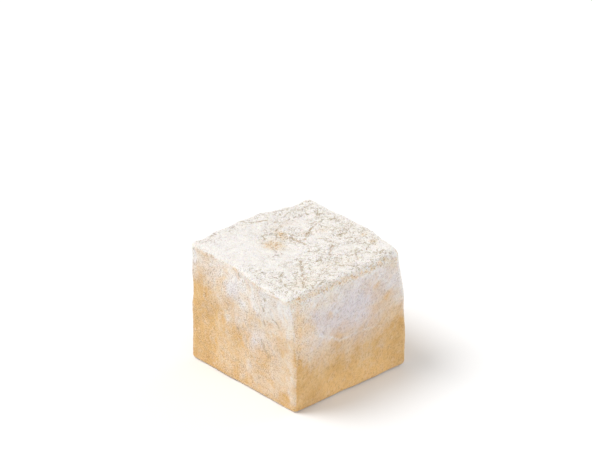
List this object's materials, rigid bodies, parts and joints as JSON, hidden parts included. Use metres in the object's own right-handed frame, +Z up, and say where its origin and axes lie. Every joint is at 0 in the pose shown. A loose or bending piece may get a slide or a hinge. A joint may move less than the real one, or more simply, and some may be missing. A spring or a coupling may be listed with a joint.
{
  "type": "turkish delight cube",
  "caption": "Hand-cut squat block of amber starch gel in a clinging coat of white powder, with worn uneven edges and a flat base to rest on.",
  "frame": {"origin": "middle of the flat base, under the centre of the cube's bounding box", "axes": "+Z up, +X to the right along the front face, +Y from the front face to the back one"},
  "size_m": [0.0362, 0.0356, 0.0303],
  "materials": {
    "powdered_gel": "matte white sugar powder, thick on the top and thinner on the sides, where the translucent amber gel shows through"
  },
  "bodies": {
    "root": {"delight_cube": "powdered_gel"}
  },
  "joints": []
}
